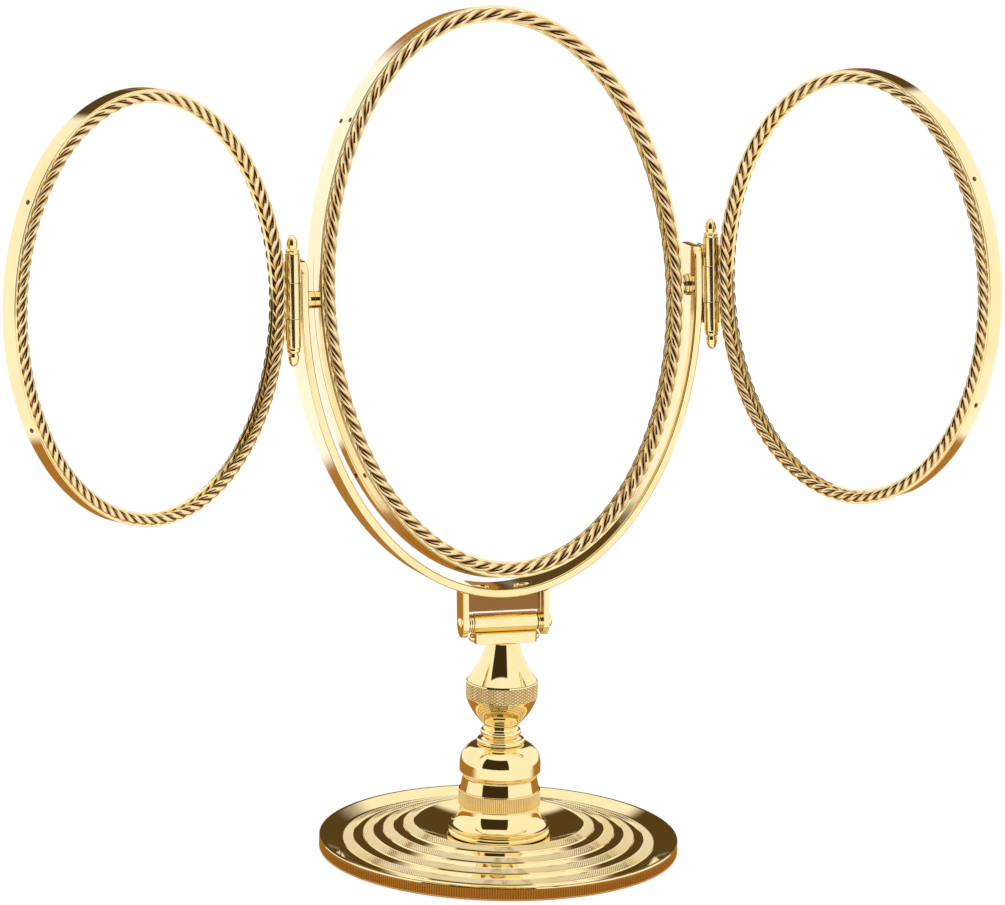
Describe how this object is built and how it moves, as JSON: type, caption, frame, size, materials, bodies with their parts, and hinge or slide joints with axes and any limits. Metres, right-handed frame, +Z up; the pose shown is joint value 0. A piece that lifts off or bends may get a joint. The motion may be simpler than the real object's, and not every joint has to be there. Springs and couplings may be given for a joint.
{
  "type": "four-way dressing-table mirror",
  "caption": "Oval double-sided mirror that turns over in a yoke between hinged oval wings, all with rope borders, tilting and swivelling on a turned brass column with a round base.",
  "frame": {"origin": "middle of the underside of the base's felt pad", "axes": "+Z up along the column, mirrors face -Y, +X to the viewer's right when looking at the mirrors"},
  "size_m": [0.4915, 0.1824, 0.4229],
  "materials": {
    "polished_brass": "mirror-polished, lacquered",
    "base_brass": "polished, with chased rings and a reeded edge",
    "rope_brass": "polished twisted rope",
    "knurled_brass": "polished, with a diamond-knurled band",
    "reeded_brass": "polished, with fine upright reeding",
    "mirror_glass": "silvered plain glass",
    "magnifying_glass": "silvered hollow glass",
    "felt": "brown felt",
    "board": "plain fibreboard",
    "steel": "plain"
  },
  "bodies": {
    "stand": {"base_plate": "base_brass", "base_pad": "felt", "base_nut": "steel", "base_washer": "steel", "tie_rod": "steel", "foot_ring": "polished_brass", "column_foot": "polished_brass", "reeded_band": "reeded_brass", "column_body": "polished_brass", "neck_collar": "polished_brass", "swivel_nut": "steel", "swivel_washer": "steel"},
    "lock_knob": {"lock_knob": "knurled_brass"},
    "swivel": {"swivel_cone": "polished_brass", "saddle_plate": "polished_brass", "saddle_nuts": "polished_brass", "tilt_barrel": "polished_brass"},
    "yoke": {"yoke_bracket": "polished_brass", "bracket_screws": "steel", "tilt_pin": "polished_brass", "tilt_nut": "polished_brass", "tilt_washers": "polished_brass", "yoke_band": "polished_brass", "pivot_pins": "polished_brass", "friction_washers": "steel", "left_yoke_leaf": "polished_brass", "right_yoke_leaf": "polished_brass", "left_hinge_pin": "steel", "right_hinge_pin": "steel", "left_finials": "polished_brass", "right_finials": "polished_brass"},
    "centre_mirror": {"centre_drum": "polished_brass", "centre_front_bezel": "polished_brass", "centre_back_bezel": "polished_brass", "centre_front_rope": "rope_brass", "centre_back_rope": "rope_brass", "centre_glass": "mirror_glass", "magnifying_glass": "magnifying_glass", "glass_spacer": "board", "pivot_bushes": "polished_brass", "centre_screws": "polished_brass"},
    "left_wing": {"left_drum": "polished_brass", "left_bezel": "polished_brass", "left_rope": "rope_brass", "left_glass": "mirror_glass", "left_backing": "board", "left_wing_leaf": "polished_brass", "left_screws": "polished_brass"},
    "right_wing": {"right_drum": "polished_brass", "right_bezel": "polished_brass", "right_rope": "rope_brass", "right_glass": "mirror_glass", "right_backing": "board", "right_wing_leaf": "polished_brass", "right_screws": "polished_brass"}
  },
  "joints": [
    {"name": "head_swivel", "type": "hinge", "parent": "stand", "child": "swivel", "pos_m": [0, 0, 0.1], "axis": [0, 0, 1], "continuous": true},
    {"name": "lock_knob_turn", "type": "hinge", "parent": "stand", "child": "lock_knob", "pos_m": [0, 0, 0.08], "axis": [0, 0, 1], "range_deg": [0, 120]},
    {"name": "head_tilt", "type": "hinge", "parent": "swivel", "child": "yoke", "pos_m": [0, 0, 0.119], "axis": [-1, 0, 0], "range_deg": [-33, 27]},
    {"name": "centre_swivel", "type": "hinge", "parent": "yoke", "child": "centre_mirror", "pos_m": [0, 0.03089, 0.28128], "axis": [-1, 0, 0], "continuous": true},
    {"name": "left_wing_fold", "type": "hinge", "parent": "yoke", "child": "left_wing", "pos_m": [-0.1074, 0.01586, 0.28501], "axis": [0, 0.1392, 0.9903], "range_deg": [-31, 104]},
    {"name": "right_wing_fold", "type": "hinge", "parent": "yoke", "child": "right_wing", "pos_m": [0.1074, 0.01586, 0.28501], "axis": [0, -0.1392, -0.9903], "range_deg": [-58, 77]}
  ]
}
